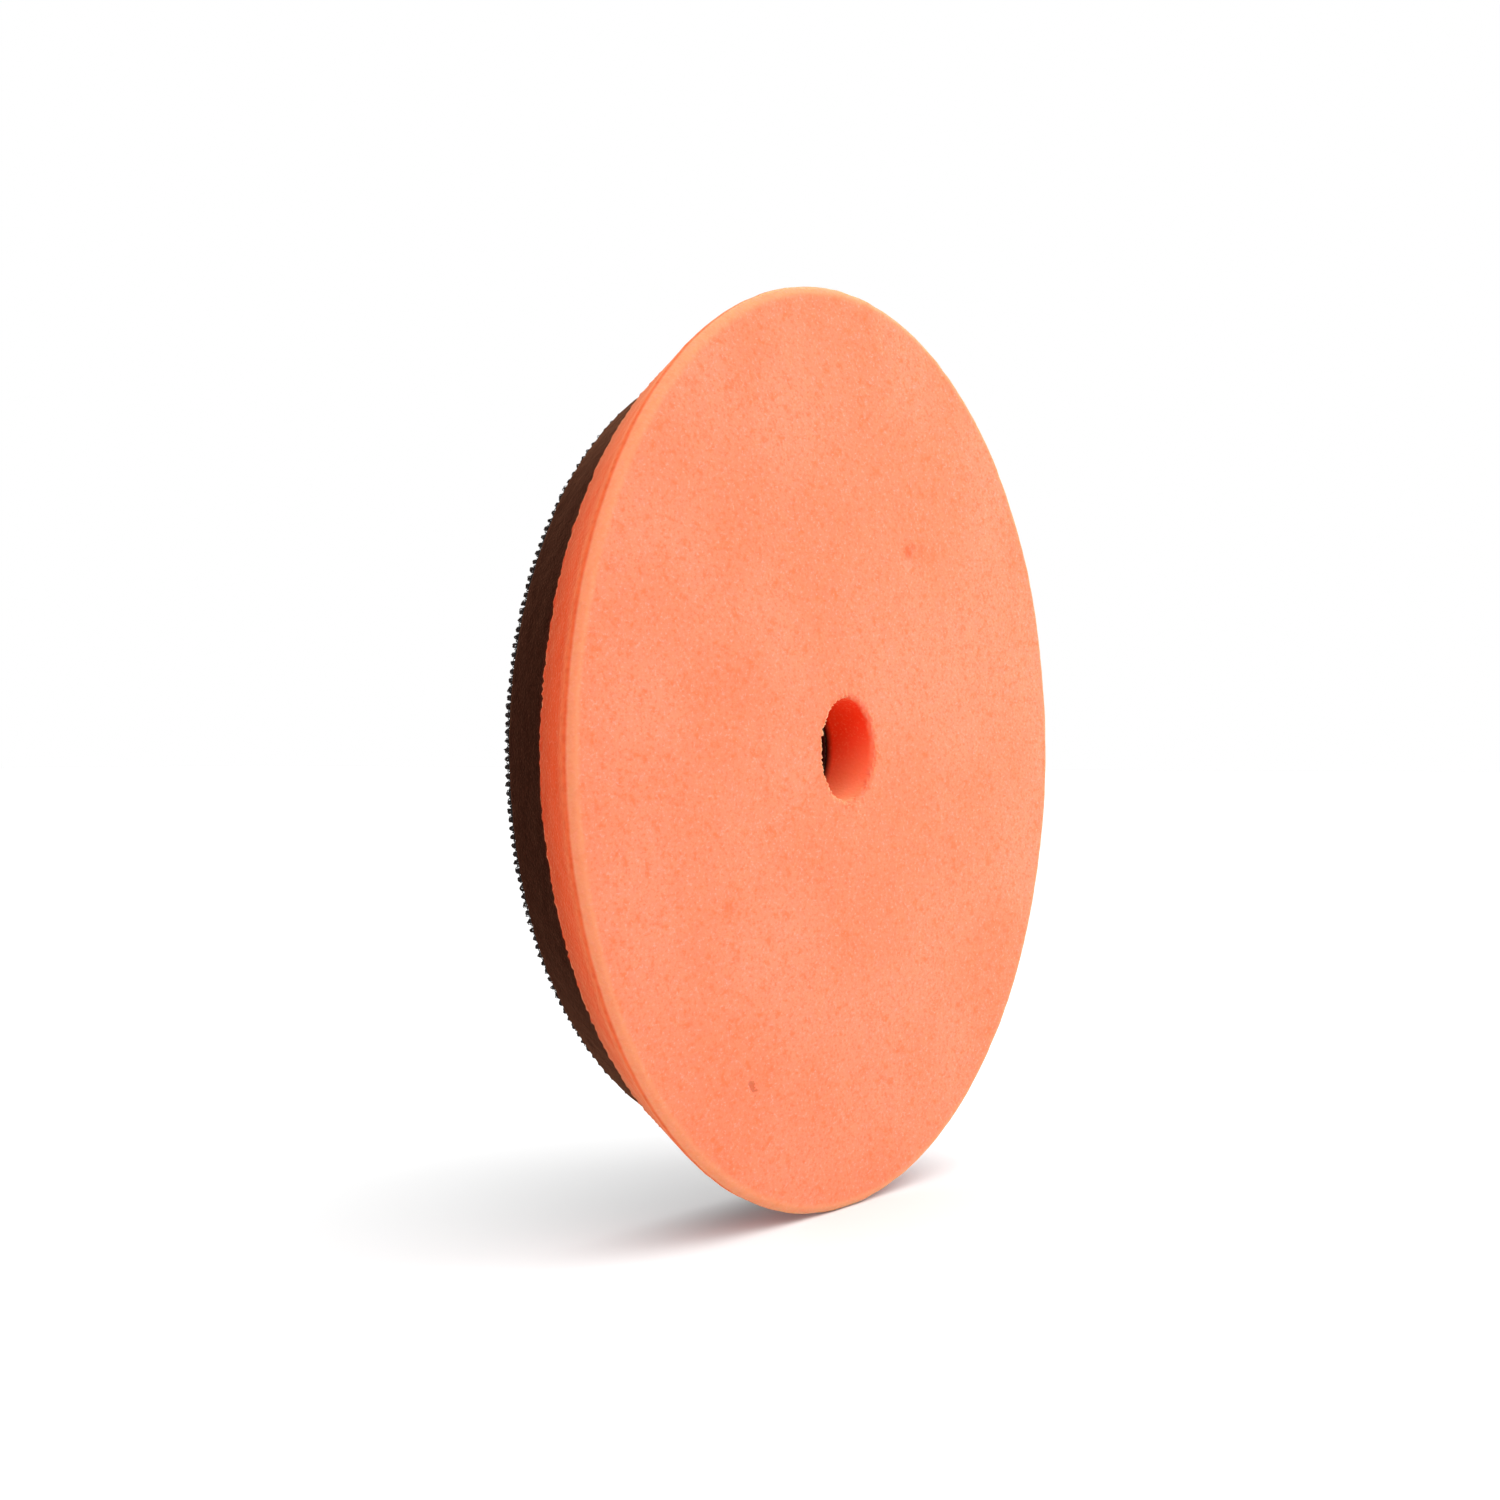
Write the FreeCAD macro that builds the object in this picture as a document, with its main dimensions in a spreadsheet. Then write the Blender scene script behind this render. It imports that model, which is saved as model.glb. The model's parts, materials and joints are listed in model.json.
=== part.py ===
"""Tapered foam polishing pad with a hook-and-loop back.

The pad is a laminate of six rings on one spin axis, Y. From the working face to the back they are the face foam,
an adhesive film, the interface foam, a second adhesive film, the knitted ground cloth and its loop pile.
The origin is on the spin axis in the plane of the loop tips. The working face looks towards -Y and +Z is up,
so the pad stands on its rim.
All sizes are in millimetres and degrees.
"""

import FreeCAD, Part
import Sketcher
import os

DRIVING_SIZES = {
    # whole pad: the face diameter is taken over the rounded rim, at the pad's widest
    "face_diameter": 165.0,
    "centre_hole_diameter": 18.8,
    # working foam
    "face_foam_thickness": 10.6,
    "face_bevel_angle": 32.8,
    "face_rim_radius": 1.5,
    "hole_rim_radius": 0.8,
    # interface foam, whose front edge stands a step inside the back edge of the working foam
    "joint_step": 1.3,
    "interface_thickness": 11.3,
    "interface_bevel_angle": 26.3,
    # adhesive films, which stop short of the edges that they lie between
    "face_bond_thickness": 0.2,
    "loop_bond_thickness": 0.2,
    "bond_edge_clearance": 0.3,
    # hook-and-loop fabric, cut a little smaller than the foam that it is glued to
    "backing_thickness": 0.5,
    "pile_height": 1.4,
    "fabric_edge_clearance": 0.8,
}

LAYERS_FROM_BACK = (
    "pile_height",
    "backing_thickness",
    "loop_bond_thickness",
    "interface_thickness",
    "face_bond_thickness",
    "face_foam_thickness",
)

SHEET = "Sizes"
FRONT, OUTER, BACK, INNER = 0, 1, 2, 3  # the lines of a ring's section
START, END = 1, 2  # the two ends of a sketch line
SKETCH_ORIGIN = (-1, 1)
SKETCH_X_AXIS = -1
FULL_TURN = 360
FIRST_CORNERS = ((10, 0), (70, 0), (65, 8), (10, 8))  # before the dimensions drive them


def size(name):
    """How an expression names one driving size."""
    if name not in DRIVING_SIZES:
        raise KeyError(name)
    return f"{SHEET}.{name}"


# Radii, as expressions of the driving sizes.
HOLE_RADIUS = f"{size('centre_hole_diameter')} / 2"
# The rim's rounding takes this much off the sharp corner between the face and its bevel.
RIM_LOSS = f"{size('face_rim_radius')} * (1 / tan((90 - {size('face_bevel_angle')}) / 2) - 1)"
FACE_RADIUS = f"{size('face_diameter')} / 2 + {RIM_LOSS}"
FACE_TAPER = f"{size('face_foam_thickness')} * tan({size('face_bevel_angle')})"
FACE_BACK_RADIUS = f"{FACE_RADIUS} - {FACE_TAPER}"
INTERFACE_RADIUS = f"{FACE_BACK_RADIUS} - {size('joint_step')}"
INTERFACE_TAPER = f"{size('interface_thickness')} * tan({size('interface_bevel_angle')})"
INTERFACE_BACK_RADIUS = f"{INTERFACE_RADIUS} - {INTERFACE_TAPER}"
FACE_BOND_RADIUS = f"{INTERFACE_RADIUS} - {size('bond_edge_clearance')}"
FABRIC_RADIUS = f"{INTERFACE_BACK_RADIUS} - {size('fabric_edge_clearance')}"
LOOP_BOND_RADIUS = f"{FABRIC_RADIUS} - {size('bond_edge_clearance')}"


def front_station(thickness_name):
    """Where the front of the layer with this thickness lies on the axis, measured from the loop tips."""
    last = LAYERS_FROM_BACK.index(thickness_name)
    depth = " + ".join(size(name) for name in LAYERS_FROM_BACK[: last + 1])
    return f"-({depth})"


def make_sheet(doc):
    sheet = doc.addObject("Spreadsheet::Sheet", SHEET)
    for row, (name, value) in enumerate(DRIVING_SIZES.items(), start=1):
        sheet.set(f"A{row}", name)
        sheet.set(f"B{row}", str(value))
        sheet.setAlias(f"B{row}", name)
    doc.recompute()


def add_dimension(sketch, kind, point, name, expression):
    """A named distance of one point from the sketch's origin, which follows an expression of the sheet."""
    first_value = 1.0
    dimension = Sketcher.Constraint(kind, *SKETCH_ORIGIN, *point, first_value)
    index = sketch.addConstraint(dimension)
    sketch.renameConstraint(index, name)
    sketch.setExpression(f"Constraints.{name}", expression)


def ring_section(body, front_radius, back_radius, thickness):
    """The closed section of a ring: X is the radius, and Y runs back along the axis from the ring's front."""
    sketch = body.newObject("Sketcher::SketchObject", f"{body.Label}_section")
    plane = next(f for f in body.Origin.OriginFeatures if f.Role == "XY_Plane")
    sketch.AttachmentSupport = [(plane, "")]
    sketch.MapMode = "FlatFace"
    corners = [FreeCAD.Vector(x, y, 0) for x, y in FIRST_CORNERS]
    for corner, following in zip(corners, corners[1:] + corners[:1]):
        sketch.addGeometry(Part.LineSegment(corner, following), False)
    for line, following in ((FRONT, OUTER), (OUTER, BACK), (BACK, INNER), (INNER, FRONT)):
        sketch.addConstraint(Sketcher.Constraint("Coincident", line, END, following, START))
    sketch.addConstraint(Sketcher.Constraint("Horizontal", FRONT))
    sketch.addConstraint(Sketcher.Constraint("Horizontal", BACK))
    sketch.addConstraint(Sketcher.Constraint("Vertical", INNER))
    sketch.addConstraint(Sketcher.Constraint("PointOnObject", FRONT, START, SKETCH_X_AXIS))
    add_dimension(sketch, "DistanceX", (FRONT, START), "hole_radius", HOLE_RADIUS)
    add_dimension(sketch, "DistanceX", (FRONT, END), "front_radius", front_radius)
    add_dimension(sketch, "DistanceX", (BACK, START), "back_radius", back_radius)
    add_dimension(sketch, "DistanceY", (BACK, START), "thickness", thickness)
    return sketch


def make_ring(doc, label, front_radius, back_radius, thickness_name):
    """One layer of the pad, turned about the spin axis and placed at its own station along it."""
    body = doc.addObject("PartDesign::Body", label)
    body.Label = label
    sketch = ring_section(body, front_radius, back_radius, size(thickness_name))
    doc.recompute()
    turned = body.newObject("PartDesign::Revolution", f"{label}_turned")
    turned.Profile = sketch
    turned.ReferenceAxis = (sketch, ["V_Axis"])
    turned.Angle = FULL_TURN
    body.setExpression("Placement.Base.y", front_station(thickness_name))
    doc.recompute()
    return body, sketch


def round_front_edge(doc, body, name, radius, size_name):
    """Rounds the edge of this radius at the front of a turned ring."""
    tolerance = 0.001
    base = body.Tip
    edges = []
    for number, edge in enumerate(base.Shape.Edges, start=1):
        curve = edge.Curve
        if not isinstance(curve, Part.Circle):
            continue
        if abs(curve.Radius - radius) < tolerance and abs(curve.Center.y) < tolerance:
            edges.append(f"Edge{number}")
    if not edges:
        raise RuntimeError(f"{name}: the front has no edge of radius {radius}")
    rounding = body.newObject("PartDesign::Fillet", name)
    rounding.Base = (base, edges)
    rounding.setExpression("Radius", size(size_name))
    doc.recompute()


def make_face_foam(doc):
    """The working foam: widest at its face, with a rounded rim and a softened hole edge."""
    body, section = make_ring(
        doc, "face_foam", FACE_RADIUS, FACE_BACK_RADIUS, "face_foam_thickness"
    )
    rim_radius = section.getDatum("front_radius").Value
    hole_radius = section.getDatum("hole_radius").Value
    round_front_edge(doc, body, "face_rim", rim_radius, "face_rim_radius")
    round_front_edge(doc, body, "hole_rim", hole_radius, "hole_rim_radius")
    return body


def make_face_bond(doc):
    """The adhesive film between the two foams."""
    body, _ = make_ring(
        doc, "face_bond", FACE_BOND_RADIUS, FACE_BOND_RADIUS, "face_bond_thickness"
    )
    return body


def make_interface_foam(doc):
    """The interface foam, which carries on the taper behind a small step."""
    body, _ = make_ring(
        doc, "interface_foam", INTERFACE_RADIUS, INTERFACE_BACK_RADIUS, "interface_thickness"
    )
    return body


def make_loop_bond(doc):
    """The adhesive film under the hook-and-loop fabric."""
    body, _ = make_ring(
        doc, "loop_bond", LOOP_BOND_RADIUS, LOOP_BOND_RADIUS, "loop_bond_thickness"
    )
    return body


def make_loop_backing(doc):
    """The knitted ground cloth that holds the loops."""
    body, _ = make_ring(doc, "loop_backing", FABRIC_RADIUS, FABRIC_RADIUS, "backing_thickness")
    return body


def make_loop_pile(doc):
    """The space that the standing loops fill."""
    body, _ = make_ring(doc, "loop_pile", FABRIC_RADIUS, FABRIC_RADIUS, "pile_height")
    return body


def check_document(doc, bodies):
    for thing in doc.Objects:
        failed = {"Invalid", "Error"} & set(thing.State)
        if failed:
            raise RuntimeError(f"{thing.Label}: {sorted(failed)}")
    for body in bodies:
        shape = body.Shape
        if shape.isNull() or not shape.isValid():
            raise RuntimeError(f"{body.Label}: the shape isn't valid")
        if len(shape.Solids) != 1:
            raise RuntimeError(f"{body.Label}: {len(shape.Solids)} solids, not 1")


def main():
    doc = FreeCAD.newDocument("PolishingPad")
    make_sheet(doc)
    bodies = [
        make_face_foam(doc),
        make_face_bond(doc),
        make_interface_foam(doc),
        make_loop_bond(doc),
        make_loop_backing(doc),
        make_loop_pile(doc),
    ]
    doc.recompute()
    check_document(doc, bodies)
    os.makedirs("parts", exist_ok=True)
    for body in bodies:
        body.Shape.exportStep(os.path.join("parts", f"{body.Label}.step"))
        box = body.Shape.optimalBoundingBox(False)
        print(
            f"{body.Label}: radius {box.XMax:.2f}, y {box.YMin:.2f} to {box.YMax:.2f},"
            f" volume {body.Shape.Volume:.0f}"
        )


main()
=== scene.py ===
"""Looks of the tapered foam polishing pad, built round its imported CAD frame.

Everything is in metres in the part's own frame: the spin axis is Y, the working face looks
towards -Y, the loop face is the plane y = 0, and +Z is up, so the pad stands on its rim.
"""

import json
import math

import bpy
import numpy as np
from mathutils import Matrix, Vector, noise


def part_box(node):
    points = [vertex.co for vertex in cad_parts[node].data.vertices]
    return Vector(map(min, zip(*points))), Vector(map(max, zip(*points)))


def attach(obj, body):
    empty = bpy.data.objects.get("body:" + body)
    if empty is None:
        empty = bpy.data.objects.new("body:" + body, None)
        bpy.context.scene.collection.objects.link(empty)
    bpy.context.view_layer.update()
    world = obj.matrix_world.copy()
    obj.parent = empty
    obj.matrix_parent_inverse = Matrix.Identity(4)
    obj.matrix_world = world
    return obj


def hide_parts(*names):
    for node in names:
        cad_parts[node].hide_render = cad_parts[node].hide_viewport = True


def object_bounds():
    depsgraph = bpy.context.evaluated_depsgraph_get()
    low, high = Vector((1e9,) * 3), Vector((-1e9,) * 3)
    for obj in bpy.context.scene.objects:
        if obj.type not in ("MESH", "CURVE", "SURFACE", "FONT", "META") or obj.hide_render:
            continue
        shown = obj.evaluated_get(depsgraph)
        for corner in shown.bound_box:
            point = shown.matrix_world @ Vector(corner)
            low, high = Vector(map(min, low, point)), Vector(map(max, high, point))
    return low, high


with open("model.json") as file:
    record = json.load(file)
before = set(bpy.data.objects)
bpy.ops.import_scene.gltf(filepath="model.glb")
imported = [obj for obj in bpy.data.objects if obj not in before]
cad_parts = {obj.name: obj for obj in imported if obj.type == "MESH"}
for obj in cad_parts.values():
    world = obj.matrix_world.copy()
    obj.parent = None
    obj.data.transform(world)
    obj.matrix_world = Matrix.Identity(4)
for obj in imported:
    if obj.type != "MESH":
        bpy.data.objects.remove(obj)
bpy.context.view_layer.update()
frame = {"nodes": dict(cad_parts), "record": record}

MM = 0.001


# ---------------------------------------------------------------- places, read from the frame


def outline(node):
    """A turned node's corners seen as (radius, y), from its own vertices."""
    points = [v.co for v in frame["nodes"][node].data.vertices]
    return [(math.hypot(p.x, p.z), p.y) for p in points]


def widest(node, y, near=0.02 * MM):
    """A turned node's outer radius at this place along the axis."""
    return max(radius for radius, at in outline(node) if abs(at - y) < near)


def mount(name):
    """The record's entry for this mount."""
    return next(m for m in frame["record"]["mounts"] if m["name"] == name)


HOLE_R = mount("centre_hole")["dims"]["r_mm"] * MM
FACE_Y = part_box("face_foam")[0].y
JOINT_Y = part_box("face_foam")[1].y
FACE_FOAM_DEPTH = JOINT_Y - FACE_Y
FACE_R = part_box("face_foam")[1].x
FACE_BACK_R = widest("face_foam", JOINT_Y)
CORE_FRONT_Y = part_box("interface_foam")[0].y
CORE_BACK_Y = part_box("interface_foam")[1].y
CORE_FRONT_R = widest("interface_foam", CORE_FRONT_Y)
CORE_BACK_R = widest("interface_foam", CORE_BACK_Y)
CLOTH_FRONT_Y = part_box("loop_backing")[0].y
CLOTH_BACK_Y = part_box("loop_backing")[1].y
CLOTH_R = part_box("loop_backing")[1].x
PILE_TOP_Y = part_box("loop_pile")[1].y


# ---------------------------------------------------------------- node materials


class Shader:
    """A material under construction: most methods add a node and return its output socket."""

    def __init__(self, name):
        self.material = bpy.data.materials.new(name)
        self.material.use_nodes = True
        self.tree = self.material.node_tree
        self.surface = self.tree.nodes["Principled BSDF"]
        self.place = self.node("ShaderNodeTexCoord").outputs["Object"]

    def node(self, kind, **settings):
        """A new node of this kind, itself and not its output."""
        made = self.tree.nodes.new(kind)
        for name, value in settings.items():
            setattr(made, name, value)
        return made

    def feed(self, socket, value):
        """Links an output to a socket, or sets the socket to a plain value."""
        if isinstance(value, bpy.types.NodeSocket):
            self.tree.links.new(value, socket)
        else:
            socket.default_value = value

    def maths(self, operation, first, second=0.0, third=0.0):
        """A sum on up to three values."""
        made = self.node("ShaderNodeMath", operation=operation)
        for socket, value in zip(made.inputs, (first, second, third)):
            self.feed(socket, value)
        return made.outputs[0]

    def ramp(self, value, low, high, out_low=0.0, out_high=1.0):
        """value as it goes from low to high, mapped smoothly on out_low to out_high."""
        made = self.node("ShaderNodeMapRange", interpolation_type="SMOOTHSTEP")
        for socket, given in zip(made.inputs, (value, low, high, out_low, out_high)):
            self.feed(socket, given)
        return made.outputs[0]

    def mix(self, share, first, second):
        """The first colour where share is 0, the second where it is 1."""
        made = self.node("ShaderNodeMix", data_type="RGBA")
        self.feed(made.inputs["Factor"], share)
        colours = [s for s in made.inputs if s.type == "RGBA"]
        self.feed(colours[0], first)
        self.feed(colours[1], second)
        return next(s for s in made.outputs if s.type == "RGBA")

    def parts(self):
        """x, y and z of the place on the object."""
        made = self.node("ShaderNodeSeparateXYZ")
        self.feed(made.inputs[0], self.place)
        return made.outputs

    def radius(self):
        """Distance from the spin axis."""
        x, _, z = self.parts()
        square = self.maths("ADD", self.maths("MULTIPLY", x, x), self.maths("MULTIPLY", z, z))
        return self.maths("SQRT", square)

    def noise(self, size, detail=2.0, roughness=0.5, place=None):
        """Soft noise whose spots are about size metres across."""
        made = self.node("ShaderNodeTexNoise")
        self.feed(made.inputs["Vector"], place or self.place)
        made.inputs["Scale"].default_value = 1 / size
        made.inputs["Detail"].default_value = detail
        made.inputs["Roughness"].default_value = roughness
        return made.outputs["Fac"]

    def cells(self, size, place=None):
        """Distance from the middle of round cells about size metres across."""
        made = self.node("ShaderNodeTexVoronoi")
        self.feed(made.inputs["Vector"], place or self.place)
        made.inputs["Scale"].default_value = 1 / size
        return made.outputs["Distance"]

    def stretched(self, x):
        """The place on the object, with x multiplied."""
        made = self.node("ShaderNodeVectorMath", operation="MULTIPLY")
        self.feed(made.inputs[0], self.place)
        made.inputs[1].default_value = (x, 1.0, 1.0)
        return made.outputs[0]

    def bump(self, height, depth, strength=1.0, under=None):
        """The surface raised by height times depth metres."""
        made = self.node("ShaderNodeBump")
        made.inputs["Strength"].default_value = strength
        made.inputs["Distance"].default_value = depth
        self.feed(made.inputs["Height"], height)
        if under is not None:
            self.feed(made.inputs["Normal"], under)
        return made.outputs[0]

    def finish(self, colour, normal=None, **numbers):
        """The material, with its colour, its normal and the surface's own numbers set."""
        self.feed(self.surface.inputs["Base Color"], colour)
        if normal is not None:
            self.feed(self.surface.inputs["Normal"], normal)
        for name, value in numbers.items():
            self.feed(self.surface.inputs[name.replace("_", " ")], value)
        return self.material


def spot(shader, x, z, radius, softness, uneven):
    """1 inside a ragged mark on the working face, centred at (x, z), falling to 0 outside it."""
    px, _, pz = shader.parts()
    dx = shader.maths("SUBTRACT", px, x)
    dz = shader.maths("SUBTRACT", pz, z)
    square = shader.maths("ADD", shader.maths("MULTIPLY", dx, dx), shader.maths("MULTIPLY", dz, dz))
    away = shader.maths("ADD", shader.maths("SQRT", square), uneven)
    return shader.ramp(away, radius + softness, radius)


HOLE_ZONE = 20 * MM  # the hole's own colours are kept inside this radius

# Small marks on the working face: x, z, radius and softness in mm, strength, colour.
MARKS = [
    (-32, -57, 0.35, 0.7, 0.60, (0.35, 0.075, 0.035, 1)),
    (-40, -26, 0.5, 1.8, 0.65, (0.70, 0.130, 0.050, 1)),
    (22, 37.0, 0.6, 1.9, 0.85, (0.70, 0.110, 0.045, 1)),
    (27, 37.6, 0.4, 2.2, 0.65, (0.74, 0.130, 0.055, 1)),
    (32, 37.2, 0.4, 2.0, 0.50, (0.74, 0.130, 0.055, 1)),
    (22, 34.6, 0.6, 1.8, 0.45, (0.82, 0.275, 0.180, 1)),
]


def working_foam():
    """Orange open-cell foam: pale on the face, tan on the rounded rim, deep orange on the cut sides
    partly as painted shade, with painted light and shade on the hole's wall.
    """
    s = Shader("orange_foam")
    _, y, z = s.parts()
    depth = s.maths("SUBTRACT", y, FACE_Y)
    radius = s.radius()
    broad = s.noise(30 * MM, detail=1.0)
    along = s.stretched(x=0.65)
    blotch = s.noise(1.3 * MM, detail=2.0, roughness=0.6, place=along)
    grain = s.noise(0.52 * MM, detail=2.0, roughness=0.6, place=along)
    pores = s.cells(0.55 * MM, place=along)

    face = s.mix(s.ramp(broad, 0.35, 0.65), (0.80, 0.189, 0.100, 1), (0.80, 0.213, 0.121, 1))
    face = s.mix(s.ramp(blotch, 0.50, 0.74, 0, 0.8), face, (0.79, 0.148, 0.062, 1))
    face = s.mix(s.ramp(grain, 0.48, 0.26, 0, 0.9), face, (0.78, 0.148, 0.066, 1))
    face = s.mix(s.ramp(grain, 0.54, 0.76, 0, 0.8), face, (0.84, 0.265, 0.190, 1))
    uneven = s.ramp(blotch, 0.3, 0.7, -1.2 * MM, 1.2 * MM)
    for mark_x, mark_z, size, soft, strength, tint in MARKS:
        inside = spot(s, mark_x * MM, mark_z * MM, size * MM, soft * MM, uneven)
        face = s.mix(s.maths("MULTIPLY", inside, strength), face, tint)

    # The cut side: deeper, darker orange than the face, partly the cut foam's own colour and partly
    # painted shade; darker still further back from the face.
    side = s.mix(
        s.ramp(depth, 1.6 * MM, 4.6 * MM), (0.61, 0.110, 0.040, 1), (0.54, 0.047, 0.011, 1)
    )
    side = s.mix(s.ramp(depth, 4.6 * MM, 10.0 * MM), side, (0.40, 0.034, 0.009, 1))
    side = s.mix(s.ramp(blotch, 0.42, 0.7, 0, 0.35), side, (0.44, 0.038, 0.009, 1))
    side = s.mix(s.ramp(grain, 0.55, 0.75, 0, 0.5), side, (0.56, 0.13, 0.06, 1))
    # A dark red band on the last 0.2 to 0.4 mm of the side before the joint, and on the bare back ring
    # outside the brown foam.
    ragged = s.maths("ADD", depth, s.ramp(blotch, 0.3, 0.7, -0.1 * MM, 0.1 * MM))
    near_back_edge = s.ramp(ragged, FACE_FOAM_DEPTH - 0.40 * MM, FACE_FOAM_DEPTH - 0.20 * MM)
    at_edge = s.ramp(radius, FACE_BACK_R - 0.4 * MM, FACE_BACK_R - 0.15 * MM, 0, 0.6)
    at_core = s.ramp(radius, CORE_FRONT_R + 0.5 * MM, CORE_FRONT_R + 0.2 * MM)
    dark_red_edge = s.maths("MULTIPLY", near_back_edge, s.maths("MAXIMUM", at_edge, at_core))
    side = s.mix(dark_red_edge, side, (0.100, 0.006, 0.003, 1))

    # Painted light and shade on the hole's wall: pale orange low down and near the mouth, where light
    # falls, turning deep red higher up and further in.
    shaded = s.maths("MULTIPLY_ADD", depth, 0.75, z)
    wall = s.mix(
        s.ramp(shaded, -0.9 * HOLE_R, HOLE_R), (0.95, 0.240, 0.110, 1), (0.87, 0.041, 0.008, 1)
    )
    wall = s.mix(s.ramp(grain, 0.5, 0.75, 0, 0.35), wall, (0.95, 0.18, 0.08, 1))
    # The hole's wall turns near-black over its last 1.9 mm before the joint.
    dark_before_joint = s.ramp(depth, FACE_FOAM_DEPTH - 1.9 * MM, FACE_FOAM_DEPTH - 0.1 * MM)
    wall = s.mix(dark_before_joint, wall, (0.020, 0.003, 0.002, 1))
    lip = s.mix(s.ramp(depth, 0.0, 0.8 * MM), face, (0.84, 0.205, 0.105, 1))
    inside = s.mix(s.ramp(depth, 0.3 * MM, 1.6 * MM), lip, wall)

    rim = s.mix(s.ramp(blotch, 0.4, 0.7, 0, 0.4), (0.64, 0.245, 0.122, 1), (0.61, 0.195, 0.090, 1))
    rim = s.mix(s.ramp(grain, 0.45, 0.75, 0, 0.4), rim, (0.68, 0.280, 0.180, 1))
    on_rim = s.ramp(radius, FACE_R - 2.3 * MM, FACE_R - 0.8 * MM)
    on_side = s.ramp(depth, 1.0 * MM, 1.6 * MM)
    outside = s.mix(on_side, s.mix(on_rim, face, rim), side)
    colour = s.mix(s.ramp(radius, HOLE_ZONE, HOLE_ZONE + 1 * MM), inside, outside)

    raised = s.bump(pores, 0.10 * MM, 0.5)
    raised = s.bump(grain, 0.08 * MM, 0.6, raised)
    return s.finish(
        colour,
        raised,
        Roughness=1.0,
        Specular_IOR_Level=0.0,
        Subsurface_Weight=0.8,
        Subsurface_Radius=(1.0, 0.2, 0.1),
        Subsurface_Scale=4 * MM,
        Sheen_Weight=0.27,
        Sheen_Roughness=0.3,
        Sheen_Tint=(1.0, 0.92, 0.54, 1),
    )


def interface_foam():
    """Dark brown fine-celled foam, with painted reddish bounce light beside the orange one."""
    s = Shader("dark_brown_foam")
    depth = s.maths("SUBTRACT", s.parts()[1], CORE_FRONT_Y)
    blotch = s.noise(1.1 * MM, detail=3.0, roughness=0.6)
    grain = s.noise(0.4 * MM, detail=2.0, roughness=0.6)
    pores = s.cells(0.5 * MM)
    colour = s.mix(
        s.ramp(blotch, 0.35, 0.7), (0.0150, 0.0036, 0.0020, 1), (0.0222, 0.0056, 0.0031, 1)
    )
    colour = s.mix(s.ramp(grain, 0.5, 0.75, 0, 0.5), colour, (0.050, 0.017, 0.010, 1))
    # Painted reflected light: the brown foam is tinted dark red up to 2.2 mm from its front, most
    # within 0.9 mm, as if lit by light bouncing off the orange foam.
    colour = s.mix(s.ramp(depth, 2.2 * MM, 0.9 * MM, 0, 0.7), colour, (0.046, 0.005, 0.003, 1))
    raised = s.bump(pores, 0.10 * MM, 0.5)
    raised = s.bump(grain, 0.08 * MM, 0.6, raised)
    return s.finish(
        colour,
        raised,
        Roughness=1.0,
        Specular_IOR_Level=0.0,
        Sheen_Weight=0.20,
        Sheen_Roughness=0.3,
        Sheen_Tint=(1.0, 0.44, 0.25, 1),
    )


def glue_film(name, colour):
    """An adhesive film, mottled where it has soaked into the foam."""
    s = Shader(name)
    blotch = s.noise(0.8 * MM, detail=2.0)
    dark = tuple(c * 0.55 for c in colour[:3]) + (1,)
    return s.finish(
        s.mix(s.ramp(blotch, 0.35, 0.65), colour, dark),
        s.bump(blotch, 0.05 * MM, 0.5),
        Roughness=0.7,
        Specular_IOR_Level=0.08,
    )


def knitted_cloth():
    """The ground cloth: black, with the ribs of its knitting."""
    s = Shader("black_knit")
    rib = s.node("ShaderNodeTexWave", wave_type="BANDS", bands_direction="Z")
    s.feed(rib.inputs["Vector"], s.place)
    rib.inputs["Scale"].default_value = math.pi / (10 * ROW_PITCH)
    rib.inputs["Distortion"].default_value = 0.4
    rib.inputs["Detail"].default_value = 1.0
    fuzz = s.noise(0.3 * MM, detail=2.0)
    colour = s.mix(s.ramp(fuzz, 0.3, 0.7), (0.006, 0.005, 0.005, 1), (0.016, 0.013, 0.013, 1))
    raised = s.bump(rib.outputs["Fac"], 0.15 * MM, 0.6)
    raised = s.bump(fuzz, 0.08 * MM, 0.6, raised)
    return s.finish(colour, raised, Roughness=0.9, Specular_IOR_Level=0.2)


def loop_yarn():
    """Black nylon yarn with a soft shine."""
    s = Shader("black_loop_yarn")
    strand = s.noise(0.5 * MM, detail=1.0)
    colour = s.mix(s.ramp(strand, 0.3, 0.7), (0.014, 0.007, 0.005, 1), (0.032, 0.017, 0.013, 1))
    return s.finish(
        colour,
        s.bump(s.noise(0.1 * MM), 0.02 * MM, 0.5),
        Roughness=0.6,
        Specular_IOR_Level=0.15,
    )


# ---------------------------------------------------------------- turned soft pieces


FINE = 0.70 * MM  # spacing of the mesh where it shows
LEAST_POINTS = 180  # on the smallest ring


def ring_points(radius):
    """How many points a ring has: doubled until they lie close enough together."""
    count = LEAST_POINTS
    while math.tau * radius / count > 1.4 * FINE:
        count *= 2
    return count


def straight(start, end, step):
    """Places from start, included, to end, left out, about step apart."""
    start, end = np.array(start), np.array(end)
    count = max(1, round(float(np.linalg.norm(end - start)) / step))
    return [tuple(start + (end - start) * k / count) for k in range(count)]


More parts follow.
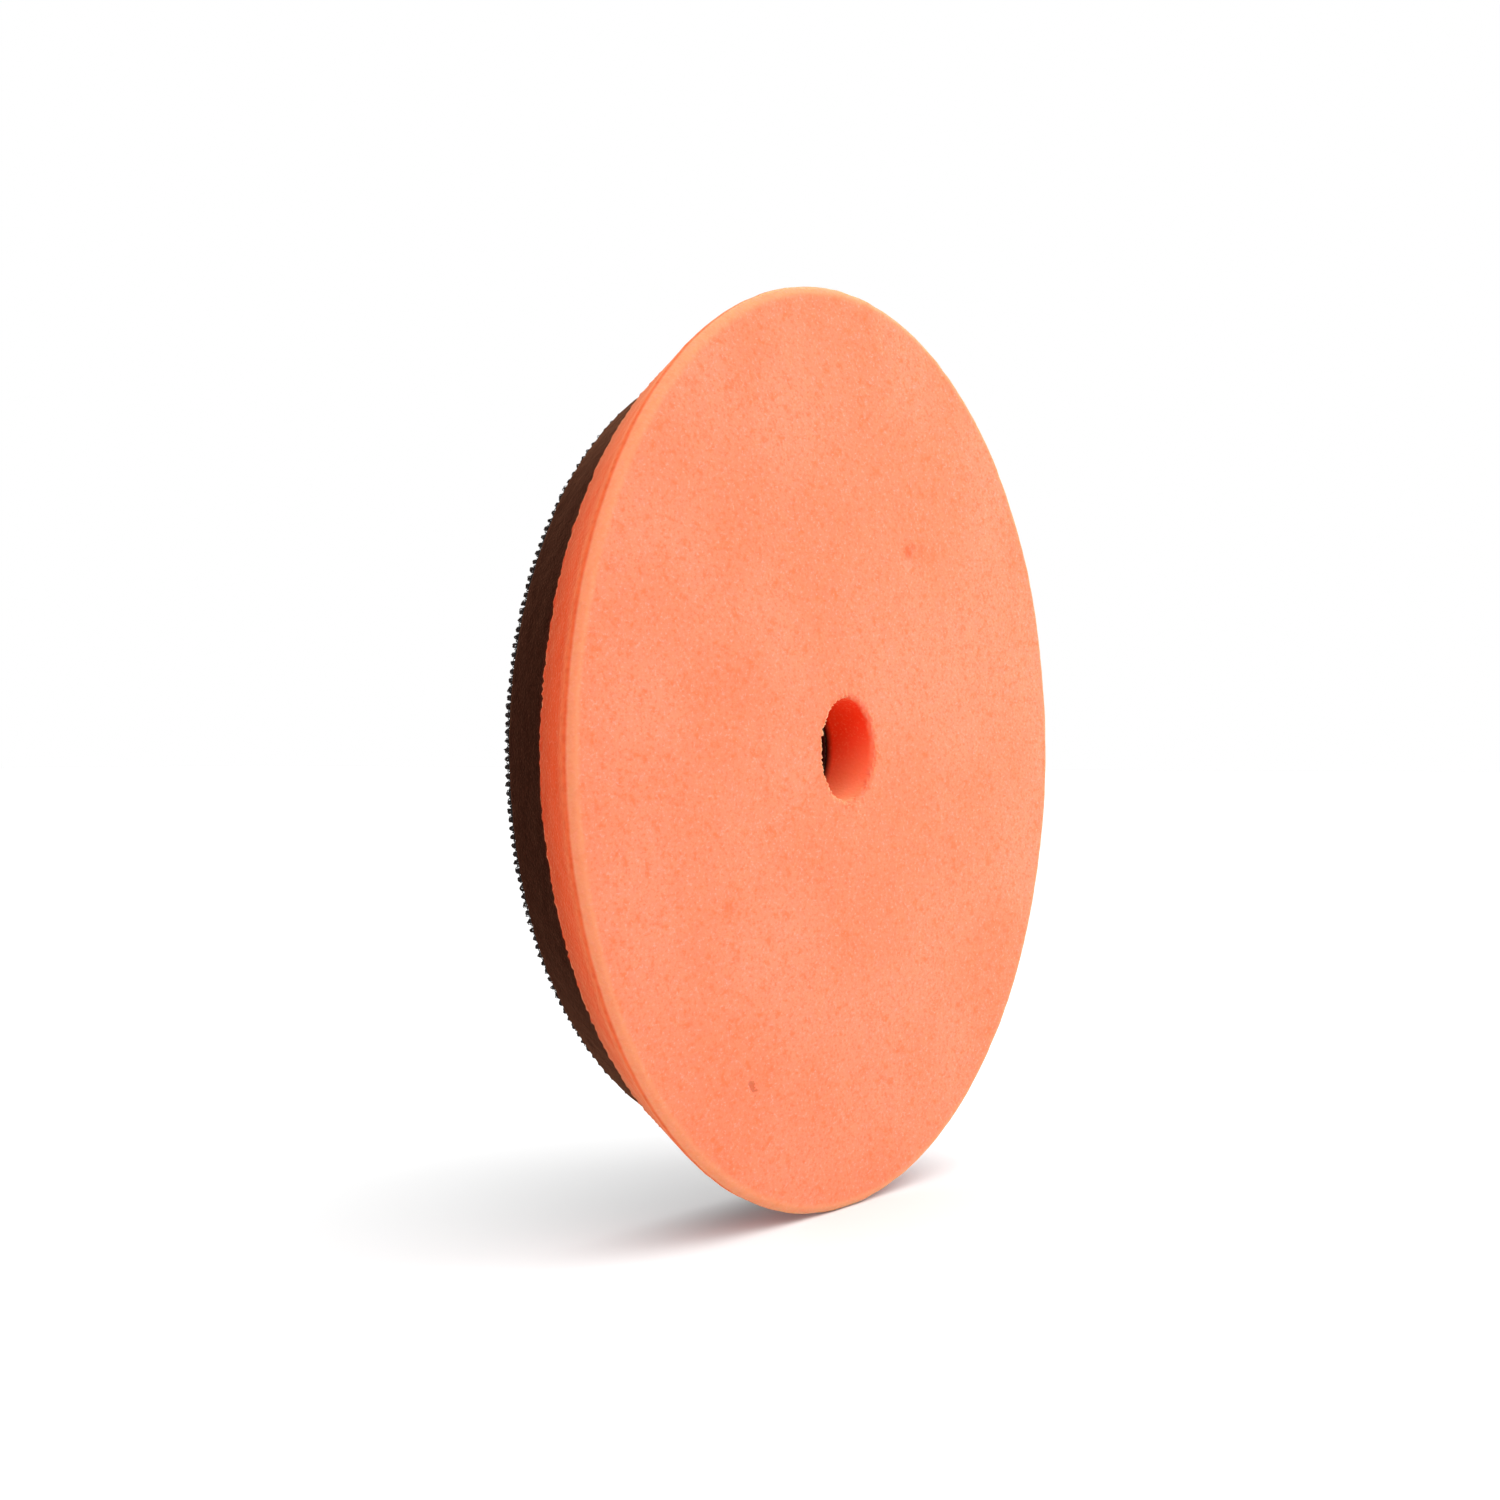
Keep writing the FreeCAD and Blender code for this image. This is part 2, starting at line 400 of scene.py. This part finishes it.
def rounded(corner, before, after, radius, steps):
    """The arc that rounds a corner between the points before and after it."""
    corner, before, after = (np.array(p, float) for p in (corner, before, after))
    back = (before - corner) / np.linalg.norm(before - corner)
    on = (after - corner) / np.linalg.norm(after - corner)
    half = math.acos(float(np.clip(back @ on, -1, 1))) / 2
    middle = corner + (back + on) / np.linalg.norm(back + on) * radius / math.sin(half)
    first = corner + back * radius / math.tan(half) - middle
    last = corner + on * radius / math.tan(half) - middle
    turn = math.pi - 2 * half
    arc = []
    for k in range(steps + 1):
        share = k / steps
        mixed = math.sin((1 - share) * turn) * first + math.sin(share * turn) * last
        arc.append(tuple(middle + mixed / math.sin(turn)))
    return arc


def turned(name, profile):
    """A closed mesh turned about the Y axis from a closed profile of (radius, y) points."""
    points, rings, faces = [], [], []
    for radius, y in profile:
        count = ring_points(radius)
        angles = np.arange(count) * math.tau / count
        rings.append((len(points), count))
        points += [(radius * math.cos(a), y, radius * math.sin(a)) for a in angles]
    for (low, n), (high, m) in zip(rings, rings[1:] + rings[:1]):
        if n == m:
            faces += [
                (low + k, low + (k + 1) % n, high + (k + 1) % n, high + k) for k in range(n)
            ]
            continue
        small, few, big, many = (low, n, high, m) if n < m else (high, m, low, n)
        per = many // few
        for k in range(few):
            here, following = small + k, small + (k + 1) % few
            fan = [big + (k * per + j) % many for j in range(per + 1)]
            half = per // 2
            made = [(here, fan[j + 1], fan[j]) for j in range(half)]
            made.append((here, following, fan[half]))
            made += [(following, fan[j + 1], fan[j]) for j in range(half, per)]
            faces += made if n < m else [face[::-1] for face in made]
    mesh = bpy.data.meshes.new(name)
    mesh.from_pydata(points, [], faces)
    mesh.update()
    piece = bpy.data.objects.new(name, mesh)
    bpy.context.scene.collection.objects.link(piece)
    face_outwards(mesh)
    mesh.shade_smooth()
    return piece


def signed_volume(mesh):
    """The volume inside a closed mesh, below 0 where its faces look inwards."""
    mesh.calc_loop_triangles()
    co = np.array([v.co for v in mesh.vertices])
    a, b, c = (co[[t.vertices[k] for t in mesh.loop_triangles]] for k in range(3))
    return float((a * np.cross(b, c)).sum() / 6)


def face_outwards(mesh):
    """Turns the faces of a closed mesh outwards if they look inwards."""
    if signed_volume(mesh) < 0:
        mesh.flip_normals()


def roughen(piece, layers, only=None):
    """Moves each point along its normal by the sum of noises, each given as (size, height)."""
    mesh = piece.data
    moved = []
    for vertex in mesh.vertices:
        place, shift = vertex.co, 0.0
        for number, (size, height) in enumerate(layers):
            shift += height * noise.noise(place / size + Vector((7.3 * number, 0, 0)))
        if only:
            shift *= only(place)
        moved.append(place + vertex.normal * shift)
    for vertex, place in zip(mesh.vertices, moved):
        vertex.co = place
    mesh.update()


def dress(piece, material, slot, *nodes):
    """Gives a piece its material, hides the CAD nodes it stands for and hangs it under the root body.
    """
    piece.data.materials.clear()
    piece.data.materials.append(material)
    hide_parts(*nodes)
    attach(piece, "root")
    return piece


def on_hole_lip(place):
    """1 on the rounded edge of the face's hole, 0 elsewhere."""
    out = math.hypot(place.x, place.z) - HOLE_R
    deep = place.y - FACE_Y
    return float(out < 0.9 * MM and deep < 0.9 * MM)


def beside_joint(place):
    """1 on the outer edge where the two foams meet, 0 elsewhere."""
    radius = math.hypot(place.x, place.z)
    return float(radius > CORE_FRONT_R - 0.3 * MM and abs(place.y - JOINT_Y) < 0.6 * MM)


def make_working_foam():
    """The orange foam, with a rounded rim and a soft edge to its hole."""
    rim_radius, hole_rim = 1.5 * MM, 0.8 * MM
    bevel = math.radians(32.8)
    half = (math.pi / 2 - bevel) / 2
    sharp_r = FACE_R + rim_radius * (1 / math.tan(half) - 1)
    hole_back, hole_front = (HOLE_R, JOINT_Y), (HOLE_R, FACE_Y)
    rim, edge = (sharp_r, FACE_Y), (FACE_BACK_R, JOINT_Y)
    lip = rounded(hole_front, hole_back, rim, hole_rim, 6)
    shoulder = rounded(rim, hole_front, edge, rim_radius, 8)
    heel = rounded(edge, rim, hole_back, 0.25 * MM, 3)
    profile = straight(hole_back, lip[0], FINE) + lip[:-1]
    profile += straight(lip[-1], shoulder[0], FINE) + shoulder[:-1]
    profile += straight(shoulder[-1], heel[0], FINE) + heel[:-1]
    profile += straight(heel[-1], hole_back, 5 * FINE)
    piece = turned("orange_foam", profile)
    roughen(piece, [(24 * MM, 0.16 * MM), (4 * MM, 0.08 * MM), (1.5 * MM, 0.045 * MM)])
    roughen(piece, [(0.25 * MM, 0.60 * MM)], only=on_hole_lip)
    roughen(piece, [(0.8 * MM, 0.34 * MM)], only=beside_joint)
    return dress(piece, working_foam(), "face_foam", "face_foam")


def make_interface_foam():
    """The brown foam behind it."""
    hole_back, hole_front = (HOLE_R, CORE_BACK_Y), (HOLE_R, CORE_FRONT_Y)
    front, back = (CORE_FRONT_R, CORE_FRONT_Y), (CORE_BACK_R, CORE_BACK_Y)
    shoulder = rounded(front, hole_front, back, 0.2 * MM, 3)
    heel = rounded(back, front, hole_back, 0.3 * MM, 3)
    profile = straight(hole_back, hole_front, FINE)
    profile += straight(hole_front, shoulder[0], 5 * FINE) + shoulder[:-1]
    profile += straight(shoulder[-1], heel[0], FINE) + heel[:-1]
    profile += straight(heel[-1], hole_back, 5 * FINE)
    piece = turned("brown_foam", profile)
    roughen(piece, [(18 * MM, 0.14 * MM), (3 * MM, 0.07 * MM), (1.4 * MM, 0.06 * MM)])
    roughen(piece, [(0.9 * MM, 0.16 * MM)], only=beside_joint)
    return dress(piece, interface_foam(), "interface_foam", "interface_foam")


def make_film(name, node, material, slot):
    """An adhesive film, whose edge wanders where it was squeezed out."""
    low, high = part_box(node)
    inner, outer = HOLE_R, high.x
    corners = [(inner, high.y), (inner, low.y), (outer, low.y), (outer, high.y)]
    profile = []
    for start, end in zip(corners, corners[1:] + corners[:1]):
        profile += straight(start, end, 6 * FINE)
    piece = turned(name, profile)
    for vertex in piece.data.vertices:
        radius = math.hypot(vertex.co.x, vertex.co.z)
        if radius > outer - 0.1 * MM:
            spread = 1 + 0.2 * MM * noise.noise(vertex.co / (2 * MM)) / radius
            vertex.co.x *= spread
            vertex.co.z *= spread
    piece.data.update()
    return dress(piece, material, slot, node)


# ---------------------------------------------------------------- hook-and-loop fabric


ROW_PITCH = 1.40 * MM  # between the rows of loops
LOOP_PITCH = 1.15 * MM  # between the loops of a row
ROW_END = 0.52 * MM  # from a row's last tuft to the cut edge
YARN_R = 0.085 * MM
YARN_SIDES = 3
STRAY_SHARE = 0.02  # of the loops, pulled tall and wide
STRAY_WIDER = 1.7
EDGE_BAND = 2.6 * MM  # how far in from the cloth's edges the tufts are full, and then half full


def make_ground_cloth():
    """The knitted cloth, a flat ring with ribs along its rows."""
    corners = [(HOLE_R, CLOTH_BACK_Y), (HOLE_R, CLOTH_FRONT_Y)]
    corners += [(CLOTH_R, CLOTH_FRONT_Y), (CLOTH_R, CLOTH_BACK_Y)]
    steps = [FINE, 5 * FINE, FINE, FINE]
    profile = []
    for start, end, step in zip(corners, corners[1:] + corners[:1], steps):
        profile += straight(start, end, step)
    piece = turned("loop_ground_cloth", profile)
    for vertex in piece.data.vertices:
        radius = math.hypot(vertex.co.x, vertex.co.z)
        if abs(vertex.co.y - CLOTH_BACK_Y) < 0.01 * MM:
            vertex.co.y += 0.05 * MM * math.cos(math.tau * vertex.co.z / ROW_PITCH)
        if radius > CLOTH_R - 0.1 * MM:
            spread = 1 + 0.25 * MM * noise.noise(vertex.co / (0.8 * MM)) / radius
            vertex.co.x *= spread
            vertex.co.z *= spread
    piece.data.update()
    return dress(piece, knitted_cloth(), "loop_backing", "loop_backing")


def arch(width, height, foot, steps):
    """Loops of yarn seen from the side, as (loop, point, (across, up)), with both feet in the cloth.

    foot is how far apart the feet stand, as a share of the loop's width.
    """
    turn = np.linspace(0, math.pi, steps)
    bow = width[:, None] / 2
    across = -bow * np.cos(turn)
    up = (height[:, None] - bow) + bow * np.sin(turn)
    feet = foot * np.concatenate([-bow, bow], axis=1)
    across = np.concatenate([feet[:, :1], across, feet[:, 1:]], axis=1)
    low = np.full((len(width), 1), -0.1 * MM)
    up = np.concatenate([low, up, low], axis=1)
    return np.stack([across, up], axis=-1)


def yarn_mesh(name, paths, radii):
    """One mesh of closed yarn tubes, each round its own path of (loop, point, xyz)."""
    loops, steps = paths.shape[:2]
    along = np.gradient(paths, axis=1)
    along /= np.linalg.norm(along, axis=2, keepdims=True)
    out = np.cross(paths[:, steps // 2] - paths[:, 0], paths[:, -1] - paths[:, 0])
    out = (out / np.linalg.norm(out, axis=1, keepdims=True))[:, None]
    side = np.cross(along, out)
    turn = np.arange(YARN_SIDES) * math.tau / YARN_SIDES
    ring = np.cos(turn)[:, None] * side[:, :, None] + np.sin(turn)[:, None] * out[:, :, None]
    points = paths[:, :, None] + radii[:, None, None, None] * ring
    number = np.arange(loops * steps * YARN_SIDES).reshape(loops, steps, YARN_SIDES)
    following = np.roll(number, -1, axis=2)
    walls = [number[:, :-1], following[:, :-1], following[:, 1:], number[:, 1:]]
    walls = np.stack(walls, axis=-1).reshape(-1, 4).tolist()
    ends = number[:, 0, ::-1].tolist() + number[:, -1].tolist()
    mesh = bpy.data.meshes.new(name)
    mesh.from_pydata(points.reshape(-1, 3).tolist(), [], walls + ends)
    mesh.update()
    face_outwards(mesh)
    mesh.shade_smooth()
    return mesh


def tuft_places():
    """Where the tufts stand on the cloth, row by row, as (x, z), with one at both ends of each row."""
    places = []
    reach = CLOTH_R - ROW_END
    for row in range(-int(reach / ROW_PITCH), int(reach / ROW_PITCH) + 1):
        z = row * ROW_PITCH
        end = math.sqrt(reach**2 - z**2)
        half_columns = int(end / LOOP_PITCH)
        x = (np.arange(-half_columns, half_columns + 1) + 0.5 * (row % 2)) * LOOP_PITCH
        x = np.concatenate([[-end], x[np.abs(x) < end - 0.6 * LOOP_PITCH], [end]])
        places.append(np.stack([x, np.full(len(x), z)], axis=-1))
    places = np.concatenate(places)
    return places[np.hypot(*places.T) > HOLE_R + 0.3 * MM]


def cut_edge_places():
    """Where short loops stand along the cut edge of the cloth, as (x, z)."""
    places = []
    for inset in (0.18 * MM, 0.42 * MM, 0.75 * MM):
        radius = CLOTH_R - inset
        count = round(math.tau * radius / (0.42 * MM))
        turn = (np.arange(count) + inset / MM) * math.tau / count
        places.append(np.stack([radius * np.cos(turn), radius * np.sin(turn)], axis=-1))
    return np.concatenate(places)


def loops_at(random, places, strands, steps, tall, wide, foot, wander, turned_by, lean_by):
    """Loops of yarn for tufts at these places: their paths and their yarn's radii.

    tall and wide are the least and most height and width, wander is how far a loop may stray,
    turned_by is its usual angle to the row and lean_by how far its top leans, as a share of its height.
    """
    places = np.repeat(places, strands, axis=0)
    count = len(places)
    full = PILE_TOP_Y - CLOTH_BACK_Y - YARN_R
    height = full * random.uniform(*tall, count)
    width = random.uniform(*wide, count) * MM
    stray = random.random(count) < STRAY_SHARE
    height[stray] = full * tall[1]
    width[stray] *= STRAY_WIDER
    shape = arch(width, height, foot, steps)
    across, up = shape[..., 0], shape[..., 1]
    yaw = random.normal(turned_by, 0.45, count)[:, None]
    lean = random.normal(0, lean_by, (count, 2))
    start = places + random.normal(0, wander, (count, 2))
    lift = np.maximum(up, 0)
    x = start[:, :1] + across * np.cos(yaw) + lean[:, :1] * lift
    z = start[:, 1:] + across * np.sin(yaw) + lean[:, 1:] * lift
    paths = np.stack([x, CLOTH_BACK_Y + up, z], axis=-1)
    return paths, YARN_R * random.uniform(0.75, 1.1, count)


def make_pile():
    """The loops as real yarn: full tufts and a fringe at the edges, then half full, then light ones."""
    random = np.random.default_rng(7)
    places = tuft_places()
    radius = np.hypot(*places.T)
    inset = np.minimum(CLOTH_R - radius, radius - HOLE_R)
    edge = inset < EDGE_BAND
    inner = inset > 2 * EDGE_BAND
    fringe = dict(strands=1, steps=5, tall=(0.20, 0.34), wide=(0.5, 0.9), foot=1.2)
    fringe |= dict(wander=0.08 * MM, turned_by=0.6, lean_by=0.12)
    full = dict(strands=9, steps=7, tall=(0.66, 0.90), wide=(0.28, 0.66), foot=0.9)
    full |= dict(wander=0.10 * MM, turned_by=1.2, lean_by=0.05)
    half = dict(strands=4, steps=6, tall=(0.74, 0.96), wide=(0.42, 0.80), foot=0.7)
    half |= dict(wander=0.10 * MM, turned_by=0.9, lean_by=0.08)
    light = dict(strands=2, steps=6, tall=(0.80, 1.0), wide=(0.55, 0.90), foot=0.5)
    light |= dict(wander=0.08 * MM, turned_by=0.6, lean_by=0.10)
    batches = [("loop_fringe", cut_edge_places(), fringe)]
    for number, part in enumerate(np.array_split(places[edge], 3), start=1):
        batches.append((f"loop_edge_{number}", part, full))
    batches.append(("loop_between", places[~edge & ~inner], half))
    for number, part in enumerate(np.array_split(places[inner], 5), start=1):
        batches.append((f"loop_rows_{number}", part, light))
    yarn = loop_yarn()
    for name, part, kind in batches:
        paths, radii = loops_at(random, part, **kind)
        piece = bpy.data.objects.new(name, yarn_mesh(name, paths, radii))
        bpy.context.scene.collection.objects.link(piece)
        dress(piece, yarn, "loop_pile", "loop_pile")


# ---------------------------------------------------------------- studio


def make_camera():
    """A close view from the front left, level with the spin axis."""
    azimuth = math.radians(-57.3)
    distance, aside = 425.4 * MM, 17.85 * MM
    back = Vector((math.sin(azimuth), -math.cos(azimuth), 0))
    right = Vector((math.cos(azimuth), math.sin(azimuth), 0))
    face_middle = Vector((0, FACE_Y, 0))
    data = bpy.data.cameras.new("camera")
    data.lens = 56.7
    data.sensor_width = 36
    data.clip_start = 0.01
    camera = bpy.data.objects.new("camera", data)
    camera.location = face_middle + back * distance - right * aside
    camera.rotation_euler = back.to_track_quat("Z", "Y").to_euler()
    bpy.context.scene.collection.objects.link(camera)
    bpy.context.scene.camera = camera


def make_lamp(name, place, size, watts):
    """A square soft box that faces the pad."""
    data = bpy.data.lights.new(name, "AREA")
    data.shape = "SQUARE"
    data.size = size
    data.energy = watts
    lamp = bpy.data.objects.new(name, data)
    lamp.location = place
    towards = Vector((0, 0, 0)) - Vector(place)
    lamp.rotation_euler = towards.to_track_quat("-Z", "Y").to_euler()
    bpy.context.scene.collection.objects.link(lamp)


def make_sun(name, place, spread, strength):
    """A broad, even light from far away in the direction of place."""
    data = bpy.data.lights.new(name, "SUN")
    data.angle = math.radians(spread)
    data.energy = strength
    lamp = bpy.data.objects.new(name, data)
    lamp.rotation_euler = Vector(place).to_track_quat("Z", "Y").to_euler()
    bpy.context.scene.collection.objects.link(lamp)


def make_floor(height):
    """A wide pale floor under the pad."""
    reach = 8.0
    corners = [(-reach, -reach), (reach, -reach), (reach, reach), (-reach, reach)]
    mesh = bpy.data.meshes.new("floor")
    mesh.from_pydata([(x, y, height) for x, y in corners], [], [(0, 1, 2, 3)])
    floor = bpy.data.objects.new("floor", mesh)
    bpy.context.scene.collection.objects.link(floor)
    s = Shader("pale_floor")
    mesh.materials.append(s.finish((0.80, 0.80, 0.80, 1), Roughness=1.0, Specular_IOR_Level=0.0))


def make_world():
    """Even white light from all round."""
    world = bpy.data.worlds.new("white_studio")
    world.use_nodes = True
    background = world.node_tree.nodes["Background"]
    background.inputs["Color"].default_value = (1, 1, 1, 1)
    background.inputs["Strength"].default_value = 1.0
    bpy.context.scene.world = world


def main():
    """Builds the pad and its studio."""
    make_camera()
    make_working_foam()
    make_film("joint_glue", "face_bond", glue_film("red_glue", (0.10, 0.010, 0.006, 1)), "face_bond")
    make_interface_foam()
    make_film("fabric_glue", "loop_bond", glue_film("dark_glue", (0.03, 0.02, 0.018, 1)), "loop_bond")
    make_ground_cloth()
    make_pile()
    low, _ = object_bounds()
    make_floor(low.z)
    make_world()
    make_lamp("near_right", (0.24, -0.36, 0.44), 0.45, 1.8)
    make_sun("front_left", (-0.50, -0.65, 0.60), 60, 0.80)
    make_sun("top", (0.05, 0.15, 1.0), 60, 0.90)
    bpy.context.scene.view_settings.view_transform = "Standard"


main()
